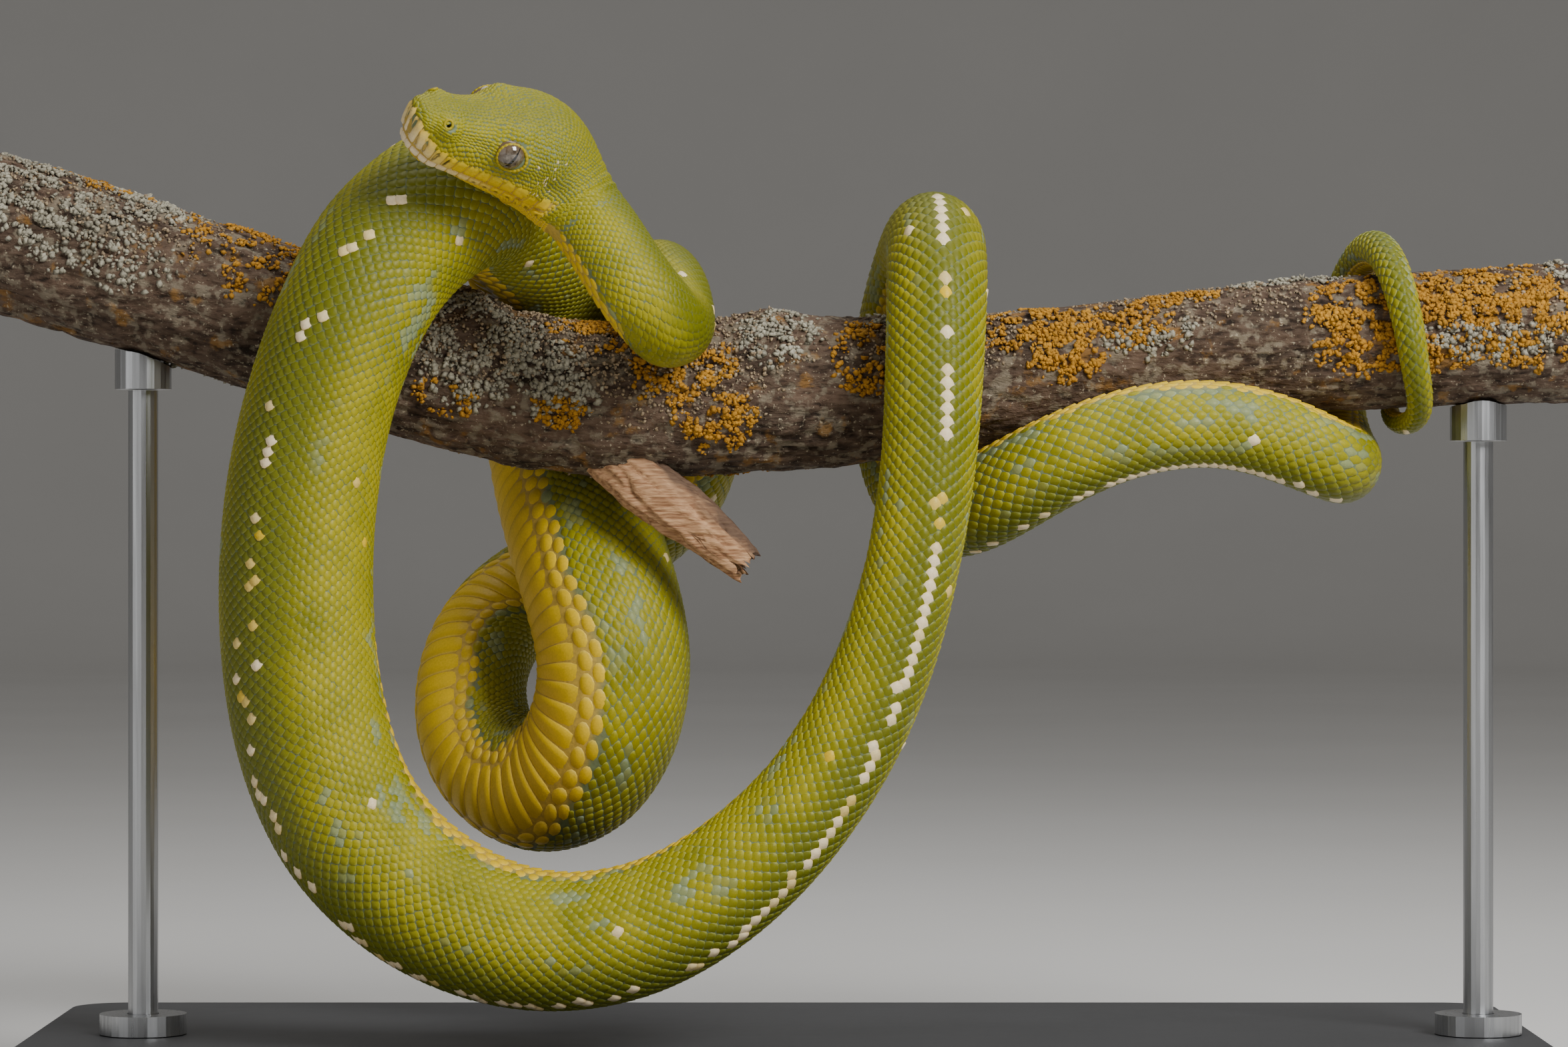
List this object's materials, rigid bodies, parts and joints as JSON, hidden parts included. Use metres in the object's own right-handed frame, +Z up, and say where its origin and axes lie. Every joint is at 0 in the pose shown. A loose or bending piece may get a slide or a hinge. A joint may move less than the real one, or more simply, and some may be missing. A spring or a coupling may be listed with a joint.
{
  "type": "green tree python on a perch",
  "caption": "Life-size green tree python, still, looped over a cut length of lichened branch that a plain base and two rods hold up.",
  "frame": {"origin": "centre of the bounding box at the underside of the stand's base", "axes": "+X along the branch to the viewer's right, +Y away from the viewer, +Z up"},
  "size_m": [0.472, 0.2, 0.2908],
  "materials": {
    "skin": "satin scaled skin, olive to yellow green with white and yellow spots",
    "eye": "glossy silver grey eye with an upright slit pupil",
    "bark": "rough dark bark with grey and orange lichen, pale broken wood",
    "base_paint": "satin dark grey paint on board",
    "steel": "brushed"
  },
  "bodies": {
    "root": {"bottom_left": "skin", "bottom_middle": "skin", "bottom_right": "skin", "eye_left": "eye", "eye_right": "eye", "first_wrap_back": "skin", "first_wrap_front": "skin", "first_wrap_under": "skin", "head": "skin", "left_crest": "skin", "left_front": "skin", "left_shoulder": "skin", "left_side": "skin", "left_turn": "skin", "loop_bottom": "skin", "loop_crossing": "skin", "loop_entry": "skin", "loop_left_lower": "skin", "loop_left_upper": "skin", "loop_right": "skin", "loop_turn": "skin", "lower_jaw": "skin", "neck_bend": "skin", "neck_front": "skin", "perch": "bark", "right_rise_lower": "skin", "right_rise_middle": "skin", "right_rise_upper": "skin", "right_run_end": "skin", "right_run_entry": "skin", "right_run_middle": "skin", "right_turn": "skin", "second_wrap_back": "skin", "second_wrap_over": "skin", "stand_base": "base_paint", "stand_foot_left": "steel", "stand_foot_right": "steel", "stand_rod_left": "steel", "stand_rod_right": "steel", "stand_saddle_left": "steel", "stand_saddle_right": "steel", "tail_back": "skin", "tail_front": "skin", "tail_over": "skin", "tail_root": "skin", "tail_tip": "skin", "third_wrap_back": "skin", "third_wrap_front": "skin", "third_wrap_over": "skin", "third_wrap_under": "skin"}
  },
  "joints": []
}
